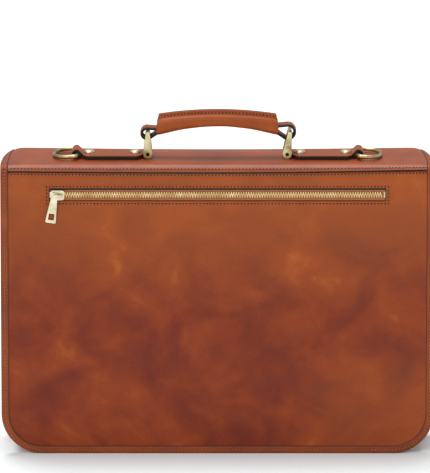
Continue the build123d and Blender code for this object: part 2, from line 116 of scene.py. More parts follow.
class Nodes:
    """A material under construction: makes nodes and joins them in one short call each."""

    def __init__(self, name):
        self.material = bpy.data.materials.new(name)
        self.material.use_nodes = True
        self.tree = self.material.node_tree
        self.shader = self.tree.nodes["Principled BSDF"]

    def put(self, socket, value):
        """Gives an input a link or a fixed value, or leaves it alone for None."""
        if isinstance(value, bpy.types.NodeSocket):
            self.tree.links.new(value, socket)
        elif value is not None:
            socket.default_value = value

    def add(self, kind, settings=None, **inputs):
        node = self.tree.nodes.new(kind)
        for key, value in (settings or {}).items():
            setattr(node, key, value)
        for key, value in inputs.items():
            self.put(node.inputs[key.replace("_", " ")], value)
        return node

    def attribute(self, name="grain", output="Vector"):
        return self.add("ShaderNodeAttribute", {"attribute_name": name}).outputs[output]

    def noise(self, vector, scale, detail=2.0, rough=0.5, distort=0.0):
        return self.add("ShaderNodeTexNoise", Vector=vector, Scale=scale, Detail=detail,
                        Roughness=rough, Distortion=distort).outputs["Fac"]

    def math(self, operation, first, second):
        node = self.add("ShaderNodeMath", {"operation": operation})
        self.put(node.inputs[0], first)
        self.put(node.inputs[1], second)
        return node.outputs[0]

    def scaled(self, value, factor, offset):
        """value * factor + offset."""
        return self.math("ADD", self.math("MULTIPLY", value, factor), offset)

    def ramp(self, factor, *stops):
        """Colours (0 to 255) over a factor, as stops of (place, colour)."""
        node = self.add("ShaderNodeValToRGB", Fac=factor)
        elements = node.color_ramp.elements
        while len(elements) < len(stops):
            elements.new(0.5)
        for element, (place, colour) in zip(elements, stops):
            element.position = place
            element.color = srgb(*colour)
        return node.outputs["Color"]

    def mix(self, factor, first, second, blend="MIX"):
        """Two colours mixed; the numbers are the Mix node's sockets for colours."""
        node = self.add("ShaderNodeMix", {"data_type": "RGBA", "blend_type": blend})
        for index, value in ((0, factor), (6, first), (7, second)):
            self.put(node.inputs[index], value)
        return node.outputs[2]

    def bump(self, height, strength, distance, normal=None):
        return self.add("ShaderNodeBump", Height=height, Strength=strength, Distance=distance,
                        Normal=normal).outputs["Normal"]

    def finish(self, colour, roughness, normal, **fixed):
        self.put(self.shader.inputs["Base Color"], colour)
        self.put(self.shader.inputs["Roughness"], roughness)
        self.put(self.shader.inputs["Normal"], normal)
        for name, value in fixed.items():
            self.put(self.shader.inputs[name.replace("_", " ")], value)
        return self.material


def leather_material(name, dark, middle, light, pale, cloud=1.0, gloss=0.24):
    """Vegetable-tanned leather: clouded dye, fine pores, soft creases and a waxed surface."""
    make = Nodes(name)
    grain = make.attribute()
    tone_and_painted_light = make.attribute("tone_and_painted_light", "Fac")
    large = make.noise(grain, 17.0, 2.5, 0.5, 0.7)
    small = make.noise(grain, 55.0, 4.0, 0.6, 0.3)
    speck = make.noise(grain, 420.0, 3.0, 0.6)
    field = make.scaled(large, 0.72, make.math("MULTIPLY", small, 0.28))
    field = make.scaled(make.math("SUBTRACT", field, 0.5), cloud, 0.5)
    stain = make.ramp(field, (0.34, dark), (0.46, middle), (0.60, light), (0.74, pale))
    # The tone attribute lifts the colour towards pale: on the back panel, the flap's top and the
    # carrier tabs this is painted light, elsewhere the piece's own tone.
    lifted = make.mix(tone_and_painted_light, stain, make.mix(0.46, stain, srgb(*pale)))
    fine = make.ramp(speck, (0.3, (214, 205, 198)), (0.7, (255, 255, 255)))
    colour = make.mix(0.35, lifted, fine, "MULTIPLY")
    pores = make.add("ShaderNodeTexVoronoi", {"feature": "DISTANCE_TO_EDGE"}, Vector=grain, Scale=820.0)
    creases = make.noise(grain, 130.0, 5.0, 0.65, 0.4)
    height = make.scaled(pores.outputs["Distance"], 0.5, creases)
    normal = make.bump(height, 0.16, 0.0006)
    normal = make.bump(large, 0.25, 0.004, normal)
    return make.finish(colour, make.scaled(small, 0.22, 0.34), normal, Specular_IOR_Level=gloss)


def edge_paint_material(name, dark, rubbed):
    """Dark paint or burnish on cut leather edges, slightly rubbed."""
    make = Nodes(name)
    worn = make.noise(make.attribute(), 260.0, 3.0, 0.6)
    colour = make.ramp(worn, (0.35, dark), (0.72, rubbed))
    rough = make.scaled(worn, 0.2, 0.35)
    return make.finish(colour, rough, make.bump(worn, 0.2, 0.0004), Specular_IOR_Level=0.3)


def suede_material():
    """Unfinished flesh side of the leather and the board."""
    make = Nodes("flesh_side")
    grain = make.attribute()
    nap = make.noise(grain, 700.0, 4.0, 0.7)
    patch = make.noise(grain, 30.0, 3.0, 0.5)
    colour = make.ramp(patch, (0.3, (150, 103, 70)), (0.7, (176, 126, 90)))
    fuzz = make.ramp(nap, (0.3, (170, 160, 150)), (0.7, (255, 255, 255)))
    colour = make.mix(0.4, colour, fuzz, "MULTIPLY")
    return make.finish(colour, 0.9, make.bump(nap, 0.5, 0.0005), Sheen_Weight=0.2)


def thread_material():
    """Waxed thread, twisted."""
    make = Nodes("waxed_thread")
    grain = make.attribute()
    twist = make.add("ShaderNodeTexWave", {"bands_direction": "DIAGONAL"}, Vector=grain, Scale=900.0)
    colour = make.ramp(make.noise(grain, 90.0, 2.0), (0.3, (136, 72, 36)), (0.7, (172, 104, 58)))
    return make.finish(colour, 0.6, make.bump(twist.outputs["Fac"], 0.4, 0.0002))


def hole_material():
    """The shadowed hole of each stitch."""
    make = Nodes("stitch_hole")
    colour = make.ramp(make.noise(make.attribute(), 300.0), (0.3, (30, 14, 10)), (0.7, (54, 24, 14)))
    return make.finish(colour, 0.9, None, Specular_IOR_Level=0.1)


def brass_material(name, dark, middle, bright):
    """Antique brass: brushed, clouded with age and scuffed."""
    make = Nodes(name)
    place = make.add("ShaderNodeTexCoord").outputs["Object"]
    cloud = make.noise(place, 95.0, 3.0, 0.5)
    brushed = make.add("ShaderNodeMapping", Vector=place, Scale=(400, 3000, 900)).outputs[0]
    scratch = make.noise(brushed, 1.0, 3.0, 0.6)
    colour = make.ramp(cloud, (0.3, dark), (0.5, middle), (0.72, bright))
    rough = make.scaled(scratch, 0.18, 0.28)
    return make.finish(colour, rough, make.bump(scratch, 0.04, 0.0001), Metallic=1.0)


def weave_material(name, warm, dark):
    """Woven tape or cotton lining."""
    make = Nodes(name)
    grain = make.attribute()
    warp = make.add("ShaderNodeTexWave", {"bands_direction": "X"}, Vector=grain, Scale=420.0)
    weft = make.add("ShaderNodeTexWave", {"bands_direction": "Y"}, Vector=grain, Scale=420.0)
    cross = make.math("MULTIPLY", warp.outputs["Fac"], weft.outputs["Fac"])
    colour = make.ramp(cross, (0.05, dark), (0.6, warm))
    return make.finish(colour, 0.85, make.bump(cross, 0.4, 0.0003), Sheen_Weight=0.15)


LEATHER_SKIN = leather_material("tan_leather", (104, 34, 18), (124, 44, 14), (145, 59, 15),
                                (184, 97, 36), 0.92)
TOP_SKIN = leather_material("flap_leather", (112, 40, 16), (130, 50, 16), (150, 64, 18),
                            (180, 91, 32), 0.8, 0.42)
STRIP_SKIN = leather_material("strip_leather", (112, 44, 22), (128, 54, 22), (142, 65, 28),
                              (168, 88, 40), 0.8)
EDGE = edge_paint_material("edge_paint", (18, 10, 10), (44, 22, 17))
BROWN_EDGE = edge_paint_material("burnished_edge", (54, 26, 18), (84, 42, 28))
FLESH = suede_material()
THREAD = thread_material()
HOLE = hole_material()
BRASS = brass_material("antique_brass", (134, 116, 78), (190, 174, 128), (224, 212, 172))
ZIP_BRASS = brass_material("zip_brass", (200, 164, 104), (222, 192, 130), (242, 222, 170))
PALE_BRASS = brass_material("pale_brass", (196, 180, 142), (226, 214, 182), (244, 238, 216))
# Painted shade: the stirrup pins are near black, for the shade of the holes they sit in.
PIN_SHADE_BRASS = brass_material("pin_painted_shade", (26, 20, 15), (38, 30, 22), (60, 48, 34))
TAPE = weave_material("zip_tape", (206, 126, 78), (150, 82, 44))
LINING = weave_material("lining_cotton", (126, 92, 66), (70, 50, 38))
HIDE = [LEATHER_SKIN, EDGE, FLESH]  # outer face, cut edge and inner face of a sheet

# ===== Mesh tools =====


SHARP_ANGLE = math.radians(42)


def new_object(name, points, faces, materials, slots, grain, tone_and_painted_light=0.0):
    """A smooth-shaded mesh object with closed, outward faces and its leather coordinates.

    Its tone lift is one number for the whole piece, or a list with one for each point; on some pieces
    the lift is painted light.
    """
    mesh = bpy.data.meshes.new(name)
    mesh.from_pydata([tuple(p) for p in points], [], faces)
    for material in materials:
        mesh.materials.append(material)
    mesh.polygons.foreach_set("material_index", slots)
    coordinates = mesh.attributes.new("grain", "FLOAT_VECTOR", "POINT")
    coordinates.data.foreach_set("vector", [c for g in grain for c in g])
    tone_and_light_values = mesh.attributes.new("tone_and_painted_light", "FLOAT", "POINT")
    tone_and_light_values.data.foreach_set("value", tone_and_painted_light if isinstance(tone_and_painted_light, list) else [tone_and_painted_light] * len(points))
    work = bmesh.new()
    work.from_mesh(mesh)
    bmesh.ops.recalc_face_normals(work, faces=work.faces)
    work.to_mesh(mesh)
    work.free()
    mesh.shade_smooth()
    mesh.set_sharp_from_angle(angle=SHARP_ANGLE)
    piece = bpy.data.objects.new(name, mesh)
    bpy.context.collection.objects.link(piece)
    return piece


def sheet(name, us, vs, place, thickness, materials=HIDE, skip=None, tone_and_painted_light=None):
    """A piece of leather of even thickness.

    place(u, v) gives the outer point and the outward direction there. Cells for which skip is
    true are cut out. materials are the outer face's, the cut edge's and the inner face's.
    """
    columns, rows = len(us), len(vs)
    outer, inner, grain, tone_and_light_values = [], [], [], []
    for v in vs:
        for u in us:
            point, out = place(u, v)
            outer.append(point)
            inner.append(point - out.normalized() * thickness)
            grain.append((u, v, 0.0))
            tone_and_light_values.append(tone_and_painted_light(u, v) if tone_and_painted_light else 0.0)
    count = len(outer)
    faces, slots = [], []

    def kept(i, j):
        if not (0 <= i < columns - 1 and 0 <= j < rows - 1):
            return False
        if skip is None:
            return True
        return not skip((us[i] + us[i + 1]) / 2, (vs[j] + vs[j + 1]) / 2)

    for j in range(rows - 1):
        for i in range(columns - 1):
            if not kept(i, j):
                continue
            a, b = j * columns + i, j * columns + i + 1
            c, d = b + columns, a + columns
            faces.append((a, b, c, d))
            slots.append(0)
            faces.append((d + count, c + count, b + count, a + count))
            slots.append(2)
            borders = ((a, b, 0, -1), (b, c, 1, 0), (c, d, 0, 1), (d, a, -1, 0))
            for start, end, di, dj in borders:
                if not kept(i + di, j + dj):
                    faces.append((start, start + count, end + count, end))
                    slots.append(1)
    piece = new_object(name, outer + inner, faces, materials, slots, grain + grain, tone_and_light_values + tone_and_light_values)
    drop_loose(piece)
    return piece


def drop_loose(piece):
    """Removes points that no face uses, as inside a cut-out."""
    work = bmesh.new()
    work.from_mesh(piece.data)
    loose = [vertex for vertex in work.verts if not vertex.link_faces]
    bmesh.ops.delete(work, geom=loose, context="VERTS")
    work.to_mesh(piece.data)
    work.free()


def tube(base, around, rings, closed=False):
    """Faces round a tube whose rings of points start at base, with a cap at each end unless closed."""
    faces = []
    for ring in range(rings if closed else rings - 1):
        here = base + ring * around
        there = base + (ring + 1) % rings * around
        for k in range(around):
            after = (k + 1) % around
            faces.append((here + k, here + after, there + after, there + k))
    if not closed:
        last = base + (rings - 1) * around
        faces.append(tuple(range(base, base + around)))
        faces.append(tuple(last + k for k in reversed(range(around))))
    return faces


def loft(name, stations, section, materials, slots=None, closed=False, tone_and_painted_light=0.0, seed=0.0):
    """A section carried along stations of (origin, outward, normal), closed at both ends.

    section is a closed list of (outward, normal) distances; slots gives each side's material.
    """
    points, grain = [], []
    travel = 0.0
    around = [0.0]
    for near, far in zip(section, section[1:]):
        around.append(around[-1] + math.dist(near, far))
    for n, (origin, out, normal) in enumerate(stations):
        if n:
            travel += (origin - stations[n - 1][0]).length
        for (a, b), turned in zip(section, around):
            points.append(origin + out * a + normal * b)
            grain.append((travel + seed, turned + seed, 0.0))
    picked = (slots or [0] * len(section)) * (len(stations) if closed else len(stations) - 1)
    if not closed:
        picked += [len(materials) - 1] * 2
    faces = tube(0, len(section), len(stations), closed)
    return new_object(name, points, faces, materials, picked, grain, tone_and_painted_light)


def regrain(piece, change):
    """Gives each point new leather coordinates, change(point, old coordinates)."""
    for point, value in zip(piece.data.vertices, piece.data.attributes["grain"].data):
        value.vector = change(point.co, value.vector)


def outline_path(half, top, bottom, corner, inset=0.0, step=4 * MM):
    """(x, z, outward x, outward z) down the left side, along the bottom and up the right side."""
    side, floor, turn = half - inset, bottom + inset, corner - inset
    path = []
    straight = max(2, round((top - floor - turn) / step))
    for n in range(straight):
        path.append((-side, top + (floor + turn - top) * n / straight, -1.0, 0.0))
    for n in range(CORNER_STEPS):
        angle = math.pi / 2 * n / CORNER_STEPS
        path.append((-side + turn - turn * math.cos(angle), floor + turn - turn * math.sin(angle),
                     -math.cos(angle), -math.sin(angle)))
    flat = max(2, round((side - turn) / step))
    for n in range(flat):
        path.append((-side + turn + (side - turn) * n / flat, floor, 0.0, -1.0))
    mirrored = [(-x, z, -a, b) for x, z, a, b in reversed(path)]
    return path + [(0.0, floor, 0.0, -1.0)] + mirrored


def resample(points, pitch):
    """Even places along a polyline: (segment, share of it, point, direction) of each."""
    lengths = [0.0]
    for a, b in zip(points, points[1:]):
        lengths.append(lengths[-1] + (b - a).length)
    count = max(1, round(lengths[-1] / pitch))
    found, segment = [], 0
    for n in range(count):
        target = (n + 0.5) * lengths[-1] / count
        while lengths[segment + 1] < target:
            segment += 1
        a, b = points[segment], points[segment + 1]
        share = (target - lengths[segment]) / (lengths[segment + 1] - lengths[segment])
        found.append((segment, share, a.lerp(b, share), (b - a).normalized()))
    return found


STITCH_SIDES = 6
THREAD_RINGS = ((-1.0, 0.45, -0.1), (-0.55, 1.0, 0.16), (0.0, 1.08, 0.24), (0.55, 1.0, 0.16),
                (1.0, 0.45, -0.1))
HOLE_RINGS = (0.10, -0.25)


def stitches(name, rows):
    """Sewn rows of (point, outward direction): short bowed threads, each with a hole after it.

    THREAD_RINGS gives a thread's reach (in half lengths), girth and lift (in widths), ring by ring,
    and HOLE_RINGS the heights (in widths) of a hole's rim and floor.
    """
    points, faces, slots = [], [], []
    turns = [math.tau * k / STITCH_SIDES for k in range(STITCH_SIDES)]
    for row in rows:
        for segment, share, middle, along in resample([point for point, _ in row], PITCH):
            out = row[segment][1].lerp(row[segment + 1][1], share).normalized()
            side = out.cross(along).normalized()
            along = (along + side * random.uniform(0.06, 0.16)).normalized()
            side = out.cross(along).normalized()
            half = PITCH * random.uniform(0.30, 0.34)
            thread = tube(len(points), STITCH_SIDES, len(THREAD_RINGS))
            for reach, girth, lift in THREAD_RINGS:
                radius = THREAD_WIDTH / 2 * girth
                for turn in turns:
                    points.append(middle + along * (half * reach) + side * (math.cos(turn) * radius)
                                  + out * (math.sin(turn) * radius + lift * THREAD_WIDTH))
            hole = tube(len(points), STITCH_SIDES, len(HOLE_RINGS))
            centre = middle + along * (PITCH / 2)
            for layer in HOLE_RINGS:
                for turn in turns:
                    points.append(centre + along * (math.cos(turn) * THREAD_WIDTH * 0.66)
                                  + side * (math.sin(turn) * THREAD_WIDTH * 0.74)
                                  + out * (layer * THREAD_WIDTH))
            faces += thread + hole
            slots += [0] * len(thread) + [1] * len(hole)
    grain = [(p.x, p.z, p.y) for p in points]
    return new_object(name, points, faces, [THREAD, HOLE], slots, grain)


def finished(piece, slot, *replaced, body=None, fold=None):
    """Hides the CAD nodes a piece stands for and hangs it on the body it follows; with a fold, only
    bakes its placement into its points. slot is not used.
    """
    if replaced:
        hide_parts(*replaced)
    if body:
        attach(piece, body)
    if fold:
        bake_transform(piece)
    return piece


def span(low, high, step):
    """Evenly spaced values from low to high, both included."""
    count = max(1, math.ceil((high - low) / step - 1e-9))
    return [low + (high - low) * n / count for n in range(count + 1)]


def spans(stops, step):
    """span() over several stops, so that each stop is a grid line."""
    values = [stops[0]]
    for low, high in zip(stops, stops[1:]):
        values += span(low, high, step)[1:]
    return values


# ===== The panels' shapes =====


def width_at(height, half, floor, corner):
    """Half width of a panel with round bottom corners at this height above its lowest edge."""
    rise = height - floor
    if rise >= corner:
        return half
    return half - corner + math.sqrt(max(corner * corner - (corner - rise) ** 2, 0.0))


def corner_rows(floor, corner, top, step, stops=()):
    """Heights for a panel's rows: close together in the round corners, then even."""
    rows = [floor + corner * (1 - math.cos(math.pi / 2 * n / CORNER_STEPS))
            for n in range(CORNER_STEPS)]
    return rows + spans([floor + corner, *stops, top], step)


def ripple(x, z, size, seed):
    """Slow unevenness of a leather panel, about plus or minus size."""
    return size * noise.noise(Vector((x * 11 + seed, z * 11, seed)))


def scale_grain(piece):
    """Turns a sheet's -1 to 1 width coordinate into metres, so that the grain isn't stretched."""
    regrain(piece, lambda point, old: (point.x, old[1], 0.0))


def panel(name, node, y, half, floor, corner, top, seed, uneven):
    """A flat leather panel of the case that faces the front, with round lower corners."""

    def place(u, v):
        fade = smooth(1 - abs(u), 0.0, 0.15)
        x = u * width_at(v, half, floor, corner)
        return Vector((x, y - abs(ripple(x, v, uneven, seed) * fade), v)), FORWARD

    us = span(-1.0, 1.0, 6 * MM / half)
    piece = sheet(name, us, corner_rows(floor, corner, top, 6 * MM), place, LEATHER)
    scale_grain(piece)
    return finished(piece, "leather", node, body="case")


# --- Back panel ---

ZIP_Z = (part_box("zip_teeth_upper")[0].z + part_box("zip_teeth_lower")[1].z) / 2
WINDOW = (162.8 * MM, ZIP_Z - 6 * MM, ZIP_Z + 6 * MM)  # half width, bottom and top
PANEL_HALF = HALF - WALL
BEND_OUT = BEND - LEATHER
BACK_ARC = BEND_OUT * math.radians(66)  # how far the panel goes round the bend, under the hem


def back_place(u, v):
    """Point of the back panel and its outward direction: flat, then round the rear bend."""
    x = u / PANEL_HALF * width_at(v, PANEL_HALF, WALL, CORNER - WALL)
    if v <= BEND_Z:
        fade = smooth(PANEL_HALF - abs(x), 4 * MM, 40 * MM) * smooth(v, 6 * MM, 50 * MM)
        fade *= 1 - smooth(v, WINDOW[1] - 24 * MM, WINDOW[1] - 6 * MM)
        swell = (0.9 * MM + ripple(x, v, 0.5 * MM, 3.0)) * fade
        return Vector((x, REAR - swell, v)), BACKWARD
    angle = (v - BEND_Z) / BEND_OUT
    out = Vector((0, -math.cos(angle), math.sin(angle)))
    return Vector((x, REAR_BEND_Y, BEND_Z)) + out * BEND_OUT, out


def back_painted_light(u, v):
    """Painted light: the panel is lighter towards its top, where the light from above falls; it is also
    lighter in its lower right corner.
    """
    top = smooth(v, 120 * MM, 270 * MM)
    corner = smooth(u, 40 * MM, 150 * MM) * (1 - smooth(v, 50 * MM, 130 * MM))
    return max(top, 0.55 * corner)


us = spans([-PANEL_HALF, -WINDOW[0], WINDOW[0], PANEL_HALF], 6 * MM)
vs = corner_rows(WALL, CORNER - WALL, BEND_Z, 6 * MM, (WINDOW[1], WINDOW[2]))
vs += span(BEND_Z, BEND_Z + BACK_ARC, 1.2 * MM)[1:]
back = sheet("back_panel_leather", us, vs, back_place, LEATHER,
             skip=lambda u, v: abs(u) < WINDOW[0] and WINDOW[1] < v < WINDOW[2], tone_and_painted_light=back_painted_light)
finished(back, "leather", "back_panel", body="case")

# --- Flap: one skin in two pieces that meet across the middle of the top ---

ARC = BEND * math.pi / 2
FLAT = FRONT_BEND_Y - REAR_BEND_Y
HEM = BEND * SEAM_ANGLE
DROP = BEND_Z - FLAP_BOTTOM
FLAP_HALF = HALF - WALL
MIDDLE = ARC + FLAT / 2
FALL = 2 * ARC + FLAT  # where the front drop starts
FLAP_END = FALL + DROP - WALL
SAG = 2.2 * MM
DRAW = 6.2 * MM
DROOP = 6.0 * MM
DROOP_REACH = 17 * MM


def top_sag(x, y):
    """How far the flap's top sinks between its ends, only in front of the fittings."""
    forward = smooth(y, HANDLE_Y + 16 * MM, FRONT_BEND_Y)
    return SAG * forward * (1 - (x / HALF) ** 2) ** 1.5


def seam_wave(x):
    """The hem isn't quite straight: lowest in the middle, highest towards the right end."""
    share = x / HALF
    return 1.5 * MM * share * smooth(share, -0.2, 0.9) - 1.2 * MM * (1 - share * share)


def drawn_in(s):
    """How far the flap's side edges are drawn in at a distance s along it."""
    share = min(max(s, 0.0) / (1.2 * ARC + FLAT), 1.0)
    return DRAW * share ** 2.6 * (1 - smooth(s, 1.5 * ARC + FLAT, FALL + 90 * MM))


def end_droop(x, s):
    """How far the flap's top turns down at its two ends."""
    near = max(0.0, abs(x) - (HALF - DROOP_REACH)) / DROOP_REACH
    share = min(max(s, 0.0) / (ARC + FLAT), 1.0)
    return DROOP * near ** 2.2 * share ** 1.4 * (1 - smooth(s, 1.2 * ARC + FLAT, FALL + 14 * MM))


def flap_place(x, s):
    """Outer point and direction of the flap's leather at a distance s along it from the rear bend."""
    place = x * (1 - drawn_in(s) / HALF)
    droop = end_droop(x, s)
    if s < ARC:
        s += seam_wave(x) * smooth(s, 0.0, HEM) * (1 - smooth(s, HEM, ARC))
        angle = s / BEND
        out = Vector((0, -math.cos(angle), math.sin(angle)))
        return Vector((place, REAR_BEND_Y, BEND_Z)) + out * (BEND - droop), out
    if s < ARC + FLAT:
        y = REAR_BEND_Y + s - ARC
        return Vector((place, y, TOP - top_sag(x, y) - droop)), UP
    sag = top_sag(x, FRONT_BEND_Y)
    if s < FALL:
        angle = (s - ARC - FLAT) / BEND
        out = Vector((0, math.sin(angle), math.cos(angle)))
        down = Vector((0, 0, sag * (1 - angle / (math.pi / 2))))
        return Vector((place, FRONT_BEND_Y, BEND_Z)) + out * (BEND - droop) - down, out
    return Vector((place, FRONT, BEND_Z - (s - FALL))), FORWARD


def flap_half(s):
    """The flap's half width at s: full, with the round corners of its lower front edge."""
    return width_at(FLAP_END - s, FLAP_HALF, 0.0, CORNER - WALL)


def flap_painted_light(u, v):
    """Painted light: the flap's top is lighter, as lit from above with a sheen; its front is like the
    body.
    """
    return 0.55 - 0.4 * smooth(v, FALL, FALL + 60 * MM)


def flap_sheet(name, vs, half_at, fold, *replaced):
    """One of the flap's two skins, shaped round the flap's bends."""

    def place(u, v):
        return flap_place(u * half_at(v), v)

    inner = 1 - 13 * MM / HALF
    us = span(-1.0, -inner, 0.008) + span(-inner, inner, 6 * MM / FLAP_HALF)[1:]
    us += span(inner, 1.0, 0.008)[1:]
    piece = sheet(name, us, vs, place, LEATHER, [TOP_SKIN, EDGE, FLESH], tone_and_painted_light=flap_painted_light)
    regrain(piece, lambda point, old: (point.x, old[1] + BEND_Z, 0.0))
    finished(piece, "leather", *replaced, fold=fold)


REAR_FOLD = ("case", "flap_top",
             Vector((0, REAR_BEND_Y - 8 * MM, 0)), Vector((0, REAR_BEND_Y + 7 * MM, 0)))
FRONT_FOLD = ("flap_top", "flap_front", Vector((0, 0, TOP)), Vector((0, 0, BEND_Z - 6 * MM)))

flap_sheet("flap_leather_back", spans([HEM, ARC, MIDDLE], 1.6 * MM), lambda v: FLAP_HALF, REAR_FOLD,
           "flap_hem", "flap_top")
top_rows = span(MIDDLE, ARC + FLAT, 3 * MM) + span(ARC + FLAT, FALL, 1.6 * MM)[1:]
drop_rows = span(FALL, FLAP_END - CORNER + WALL, 5 * MM)[1:]
for n in range(1, CORNER_STEPS + 1):
    drop_rows.append(FLAP_END - (CORNER - WALL) * (1 - math.sin(math.pi / 2 * n / CORNER_STEPS)))
flap_sheet("flap_leather_front", top_rows + drop_rows, flap_half, FRONT_FOLD, "flap_front")

# ===== Edge strips =====


def strip_section(stack):
    """Section of a strip folded round an edge of this thickness: sewn in the middle, rounded over."""
    face = [(-STRIP, 0.35 * MM), (-6.9 * MM, 0.9 * MM), (-4.6 * MM, 1.0 * MM), (-3.75 * MM, 0.72 * MM),
            (-2.9 * MM, 1.0 * MM), (-1.3 * MM, 0.98 * MM), (-0.45 * MM, 0.7 * MM), (0.0, 0.0)]
    back = [(a, -stack - b) for a, b in reversed(face)]
    inside = [(-STRIP, -stack), (-WALL, -stack), (-WALL, 0.0), (-STRIP, 0.0)]
    slots = [0] * (2 * len(face) + len(inside))
    for dark in (0, 2 * len(face) - 2, 2 * len(face) - 1, -1):  # the strip's own cut edges
        slots[dark] = 1
    return face + back + inside, slots


def strip_stations(path, y, normal):
    """Stations of an edge strip round a panel in a plane of constant depth."""
    return [(Vector((x, y, z)), Vector((a, 0, b)), normal) for x, z, a, b in path]


def seam_row(stations):
    """The strip's sewing row on the face, inside the edge."""
    return [(origin - out * SEW + normal * SEW_LIFT, normal) for origin, out, normal in stations]


def other_face(stations, stack):
    """The same stations seen from the sheet's other face."""
    return [(origin - normal * stack, out, -normal) for origin, out, normal in stations]


def edge_strip(name, stations, stack, seed, *replaced, **follows):
    """The folded strip along an edge."""
    section, slots = strip_section(stack)
    piece = loft(name, stations, section, [STRIP_SKIN, BROWN_EDGE], slots, tone_and_painted_light=0.35, seed=seed)
    finished(piece, "binding_leather", *replaced, **follows)


def both_faces(stations, stack):
    """The strip's sewing, seen on both faces."""
    return [seam_row(stations), seam_row(other_face(stations, stack))]


rear_stations = strip_stations(outline_path(HALF, BEND_Z, 0.0, CORNER), REAR, BACKWARD)
edge_strip("rear_edge_strip", rear_stations, STACK, 0.3, "rear_binding", body="case")
front_stations = strip_stations(outline_path(HALF, GUSSET_TOP, 0.0, CORNER), BODY_FRONT, FORWARD)
edge_strip("front_edge_strip", front_stations, STACK, 1.1, "front_binding", body="case")
case_rows = both_faces(rear_stations, STACK) + both_faces(front_stations, STACK)


def flap_edge_station(v, side):
    """Station of an edge strip at the flap's side edge: it tips down with the leather's droop."""
    point, out = flap_place(side * HALF, v)
    within, _ = flap_place(side * (HALF - STRIP), v)
    if v < HEM:
        sunk = out * (LEATHER * (1 - smooth(v, 0.35 * HEM, HEM)))
        point = point - sunk
        within = within - sunk
    reach = (point - within).normalized()
    along = out.cross(reach)
    return point, reach, reach.cross(along).normalized()


side_rows = []
for name, side in SIDES:
    stations = [flap_edge_station(v, side) for v in spans([0.0, HEM, ARC, MIDDLE], 1.5 * MM)]
    replaced = ("hem_binding", "flap_top_binding") if side < 0 else ()
    edge_strip(f"flap_side_strip_{name}", stations, LEATHER, 2.0 + side, *replaced, fold=REAR_FOLD)
    side_rows.append(seam_row(stations))

drop_round = []
for x, z, a, b in outline_path(HALF, BEND_Z, FLAP_BOTTOM, CORNER):
    place = x * (1 - drawn_in(FALL + BEND_Z - z) / HALF)
    drop_round.append((Vector((place, FRONT, z)), Vector((a, 0, b)), FORWARD))
front_edge_stations = [flap_edge_station(v, -1) for v in top_rows[:-1]] + drop_round
front_edge_stations += [flap_edge_station(v, 1) for v in reversed(top_rows[:-1])]
edge_strip("flap_front_strip", front_edge_stations, LEATHER, 4.0, "flap_front_binding", fold=FRONT_FOLD)

# ===== Sewing on the panels =====


def line(start, end, out):
    """A straight seam as a row for stitches()."""
    count = max(1, round((end - start).length / (5 * MM)))
    return [(start.lerp(end, n / count), out) for n in range(count + 1)]


def bead(name, row, across, deep, **follows):
    """Built-up edge paint: a thin dark rounded bead along a cut edge; made wide, it is also painted
    shadow under the edge.
    """
    stations = []
    for n, (point, out) in enumerate(row):
        nearby = row[min(n + 1, len(row) - 1)][0] - row[max(n - 1, 0)][0]
        stations.append((point, out.cross(nearby).normalized(), out))
    turns = [math.tau * k / 8 for k in range(8)]
    section = [(math.cos(turn) * across / 2, math.sin(turn) * deep / 2) for turn in turns]
    finished(loft(name, stations, section, [EDGE]), "leather", **follows)


hem_edge = [flap_place(x, HEM) for x in span(-HALF + STRIP - 1 * MM, HALF - STRIP + 1 * MM, 5 * MM)]
hem_edge = [(point - out * 0.9 * MM, out) for point, out in hem_edge]
# The hem's bead is wider than its cut edge: real edge paint, with painted shadow under the
# downward-facing hem.
bead("hem_edge_paint_and_shadow", hem_edge, 1.8 * MM, 2.3 * MM, fold=REAR_FOLD)
# The window's top bead is wide: edge paint and painted shadow under the leather's lip; the bottom one
# is only thin edge paint.
for label, z, paint_and_shadow_width in (("top", WINDOW[2], 2.3 * MM), ("bottom", WINDOW[1], 0.7 * MM)):
    edge = [(Vector((x, REAR + 0.6 * MM, z)), BACKWARD) for x in span(-WINDOW[0], WINDOW[0], 10 * MM)]
    bead(f"zip_window_{label}_edge", edge, paint_and_shadow_width, 1.8 * MM, body="case")
for label, side in SIDES:
    edge = [(Vector((side * WINDOW[0], REAR + 0.7 * MM, z)), BACKWARD)
            for z in span(WINDOW[1], WINDOW[2], 3 * MM)]
    bead(f"zip_window_{label}_edge", edge, 0.8 * MM, 1.7 * MM, body="case")

hem_xs = span(-HALF + STRIP, HALF - STRIP, 5 * MM)
hem_above = [flap_place(x, HEM + 2.8 * MM) for x in hem_xs]
case_rows.append([back_place(x, BEND_Z + (HEM + seam_wave(x)) * BEND_OUT / BEND - 2.6 * MM)
                  for x in hem_xs])
seam_x, seam_low, seam_high = WINDOW[0] + 2.6 * MM, WINDOW[1] - 2.9 * MM, WINDOW[2] + 2.5 * MM
corners = [Vector((x, REAR - 0.05 * MM, z)) for x, z in
           ((-seam_x, seam_low), (seam_x, seam_low), (seam_x, seam_high), (-seam_x, seam_high))]
for a, b in zip(corners, corners[1:] + corners[:1]):
    case_rows.append(line(a, b, BACKWARD))
finished(stitches("case_sewing", case_rows), "leather", body="case")
finished(stitches("fold_sewing", side_rows + [hem_above]), "leather", fold=REAR_FOLD)
flap_rows = both_faces(front_edge_stations, LEATHER)
finished(stitches("flap_front_sewing", flap_rows), "leather", fold=FRONT_FOLD)

# ===== Body: gusset, front, divider, board, pocket =====

GUSSET_IN = 8.5 * MM


